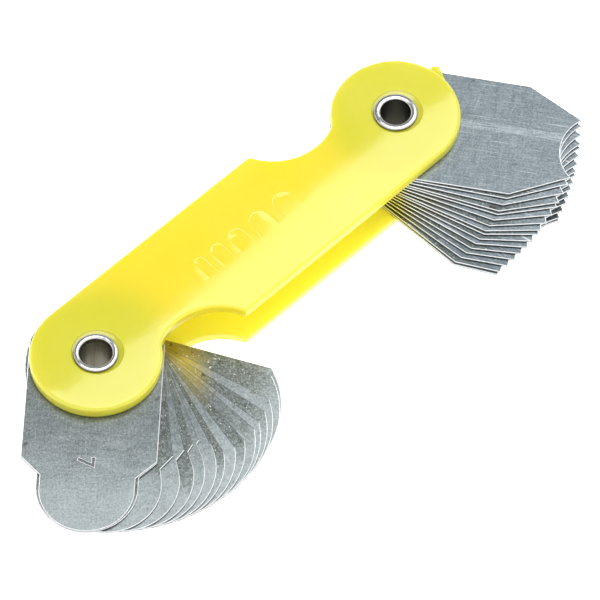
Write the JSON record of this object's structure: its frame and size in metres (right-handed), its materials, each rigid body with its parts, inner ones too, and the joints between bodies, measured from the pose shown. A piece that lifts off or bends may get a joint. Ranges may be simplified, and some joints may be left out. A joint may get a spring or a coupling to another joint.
{
  "type": "radius gauge",
  "caption": "Fillet radius gauge: steel leaves with convex and concave ends fan out of a riveted two-cover plastic case.",
  "frame": {"origin": "centre of the rear cover's flat outer face, midway between the two eyelets", "axes": "+X from the convex leaves' eyelet to the concave leaves' eyelet, +Z out through the front cover"},
  "size_m": [0.1056, 0.0389, 0.0104],
  "materials": {
    "yellow_plastic": "glossy moulded yellow plastic",
    "nickel_plate": "nickel-plated steel, rolled edges",
    "steel": "ground spring steel, faintly brushed"
  },
  "bodies": {
    "case": {"front_cover": "yellow_plastic", "rear_cover": "yellow_plastic", "left_eyelet": "nickel_plate", "right_eyelet": "nickel_plate"},
    "convex_07_0": {"convex_leaf_07_0": "steel"},
    "convex_07_5": {"convex_leaf_07_5": "steel"},
    "convex_08_0": {"convex_leaf_08_0": "steel"},
    "convex_08_5": {"convex_leaf_08_5": "steel"},
    "convex_09_0": {"convex_leaf_09_0": "steel"},
    "convex_09_5": {"convex_leaf_09_5": "steel"},
    "convex_10_0": {"convex_leaf_10_0": "steel"},
    "convex_10_5": {"convex_leaf_10_5": "steel"},
    "convex_11_0": {"convex_leaf_11_0": "steel"},
    "convex_11_5": {"convex_leaf_11_5": "steel"},
    "convex_12_0": {"convex_leaf_12_0": "steel"},
    "convex_12_5": {"convex_leaf_12_5": "steel"},
    "convex_13_0": {"convex_leaf_13_0": "steel"},
    "convex_13_5": {"convex_leaf_13_5": "steel"},
    "convex_14_0": {"convex_leaf_14_0": "steel"},
    "convex_14_5": {"convex_leaf_14_5": "steel"},
    "concave_07_0": {"concave_leaf_07_0": "steel"},
    "concave_07_5": {"concave_leaf_07_5": "steel"},
    "concave_08_0": {"concave_leaf_08_0": "steel"},
    "concave_08_5": {"concave_leaf_08_5": "steel"},
    "concave_09_0": {"concave_leaf_09_0": "steel"},
    "concave_09_5": {"concave_leaf_09_5": "steel"},
    "concave_10_0": {"concave_leaf_10_0": "steel"},
    "concave_10_5": {"concave_leaf_10_5": "steel"},
    "concave_11_0": {"concave_leaf_11_0": "steel"},
    "concave_11_5": {"concave_leaf_11_5": "steel"},
    "concave_12_0": {"concave_leaf_12_0": "steel"},
    "concave_12_5": {"concave_leaf_12_5": "steel"},
    "concave_13_0": {"concave_leaf_13_0": "steel"},
    "concave_13_5": {"concave_leaf_13_5": "steel"},
    "concave_14_0": {"concave_leaf_14_0": "steel"},
    "concave_14_5": {"concave_leaf_14_5": "steel"}
  },
  "joints": [
    {"name": "convex_pivot_07_0", "type": "hinge", "parent": "case", "child": "convex_07_0", "pos_m": [-0.031, 0, 0.0051], "axis": [0, 0, 1], "range_deg": [-223.2, 136.8]},
    {"name": "convex_pivot_07_5", "type": "hinge", "parent": "case", "child": "convex_07_5", "pos_m": [-0.031, 0, 0.0051], "axis": [0, 0, 1], "range_deg": [-223.2, 136.8]},
    {"name": "convex_pivot_08_0", "type": "hinge", "parent": "case", "child": "convex_08_0", "pos_m": [-0.031, 0, 0.0051], "axis": [0, 0, 1], "range_deg": [-231, 129]},
    {"name": "convex_pivot_08_5", "type": "hinge", "parent": "case", "child": "convex_08_5", "pos_m": [-0.031, 0, 0.0051], "axis": [0, 0, 1], "range_deg": [-237.2, 122.8]},
    {"name": "convex_pivot_09_0", "type": "hinge", "parent": "case", "child": "convex_09_0", "pos_m": [-0.031, 0, 0.0051], "axis": [0, 0, 1], "range_deg": [-242.2, 117.8]},
    {"name": "convex_pivot_09_5", "type": "hinge", "parent": "case", "child": "convex_09_5", "pos_m": [-0.031, 0, 0.0051], "axis": [0, 0, 1], "range_deg": [-246, 114]},
    {"name": "convex_pivot_10_0", "type": "hinge", "parent": "case", "child": "convex_10_0", "pos_m": [-0.031, 0, 0.0051], "axis": [0, 0, 1], "range_deg": [-250.6, 109.4]},
    {"name": "convex_pivot_10_5", "type": "hinge", "parent": "case", "child": "convex_10_5", "pos_m": [-0.031, 0, 0.0051], "axis": [0, 0, 1], "range_deg": [-254, 106]},
    {"name": "convex_pivot_11_0", "type": "hinge", "parent": "case", "child": "convex_11_0", "pos_m": [-0.031, 0, 0.0051], "axis": [0, 0, 1], "range_deg": [-259.2, 100.8]},
    {"name": "convex_pivot_11_5", "type": "hinge", "parent": "case", "child": "convex_11_5", "pos_m": [-0.031, 0, 0.0051], "axis": [0, 0, 1], "range_deg": [-264.2, 95.8]},
    {"name": "convex_pivot_12_0", "type": "hinge", "parent": "case", "child": "convex_12_0", "pos_m": [-0.031, 0, 0.0051], "axis": [0, 0, 1], "range_deg": [-270.6, 89.4]},
    {"name": "convex_pivot_12_5", "type": "hinge", "parent": "case", "child": "convex_12_5", "pos_m": [-0.031, 0, 0.0051], "axis": [0, 0, 1], "range_deg": [-274.2, 85.8]},
    {"name": "convex_pivot_13_0", "type": "hinge", "parent": "case", "child": "convex_13_0", "pos_m": [-0.031, 0, 0.0051], "axis": [0, 0, 1], "range_deg": [-279.6, 80.4]},
    {"name": "convex_pivot_13_5", "type": "hinge", "parent": "case", "child": "convex_13_5", "pos_m": [-0.031, 0, 0.0051], "axis": [0, 0, 1], "range_deg": [-285.2, 74.8]},
    {"name": "convex_pivot_14_0", "type": "hinge", "parent": "case", "child": "convex_14_0", "pos_m": [-0.031, 0, 0.0051], "axis": [0, 0, 1], "range_deg": [-294.8, 65.2]},
    {"name": "convex_pivot_14_5", "type": "hinge", "parent": "case", "child": "convex_14_5", "pos_m": [-0.031, 0, 0.0051], "axis": [0, 0, 1], "range_deg": [-298.5, 61.5]},
    {"name": "concave_pivot_07_0", "type": "hinge", "parent": "case", "child": "concave_07_0", "pos_m": [0.031, 0, 0.0051], "axis": [0, 0, 1], "range_deg": [-125.2, 234.8]},
    {"name": "concave_pivot_07_5", "type": "hinge", "parent": "case", "child": "concave_07_5", "pos_m": [0.031, 0, 0.0051], "axis": [0, 0, 1], "range_deg": [-123.4, 236.6]},
    {"name": "concave_pivot_08_0", "type": "hinge", "parent": "case", "child": "concave_08_0", "pos_m": [0.031, 0, 0.0051], "axis": [0, 0, 1], "range_deg": [-120.4, 239.6]},
    {"name": "concave_pivot_08_5", "type": "hinge", "parent": "case", "child": "concave_08_5", "pos_m": [0.031, 0, 0.0051], "axis": [0, 0, 1], "range_deg": [-117.4, 242.6]},
    {"name": "concave_pivot_09_0", "type": "hinge", "parent": "case", "child": "concave_09_0", "pos_m": [0.031, 0, 0.0051], "axis": [0, 0, 1], "range_deg": [-116.2, 243.8]},
    {"name": "concave_pivot_09_5", "type": "hinge", "parent": "case", "child": "concave_09_5", "pos_m": [0.031, 0, 0.0051], "axis": [0, 0, 1], "range_deg": [-113.6, 246.4]},
    {"name": "concave_pivot_10_0", "type": "hinge", "parent": "case", "child": "concave_10_0", "pos_m": [0.031, 0, 0.0051], "axis": [0, 0, 1], "range_deg": [-110.8, 249.2]},
    {"name": "concave_pivot_10_5", "type": "hinge", "parent": "case", "child": "concave_10_5", "pos_m": [0.031, 0, 0.0051], "axis": [0, 0, 1], "range_deg": [-108.4, 251.6]},
    {"name": "concave_pivot_11_0", "type": "hinge", "parent": "case", "child": "concave_11_0", "pos_m": [0.031, 0, 0.0051], "axis": [0, 0, 1], "range_deg": [-107.2, 252.8]},
    {"name": "concave_pivot_11_5", "type": "hinge", "parent": "case", "child": "concave_11_5", "pos_m": [0.031, 0, 0.0051], "axis": [0, 0, 1], "range_deg": [-104.8, 255.2]},
    {"name": "concave_pivot_12_0", "type": "hinge", "parent": "case", "child": "concave_12_0", "pos_m": [0.031, 0, 0.0051], "axis": [0, 0, 1], "range_deg": [-102.6, 257.4]},
    {"name": "concave_pivot_12_5", "type": "hinge", "parent": "case", "child": "concave_12_5", "pos_m": [0.031, 0, 0.0051], "axis": [0, 0, 1], "range_deg": [-100.2, 259.8]},
    {"name": "concave_pivot_13_0", "type": "hinge", "parent": "case", "child": "concave_13_0", "pos_m": [0.031, 0, 0.0051], "axis": [0, 0, 1], "range_deg": [-97.8, 262.2]},
    {"name": "concave_pivot_13_5", "type": "hinge", "parent": "case", "child": "concave_13_5", "pos_m": [0.031, 0, 0.0051], "axis": [0, 0, 1], "range_deg": [-95.2, 264.8]},
    {"name": "concave_pivot_14_0", "type": "hinge", "parent": "case", "child": "concave_14_0", "pos_m": [0.031, 0, 0.0051], "axis": [0, 0, 1], "range_deg": [-92.6, 267.4]},
    {"name": "concave_pivot_14_5", "type": "hinge", "parent": "case", "child": "concave_14_5", "pos_m": [0.031, 0, 0.0051], "axis": [0, 0, 1], "range_deg": [-91.8, 268.2]}
  ]
}
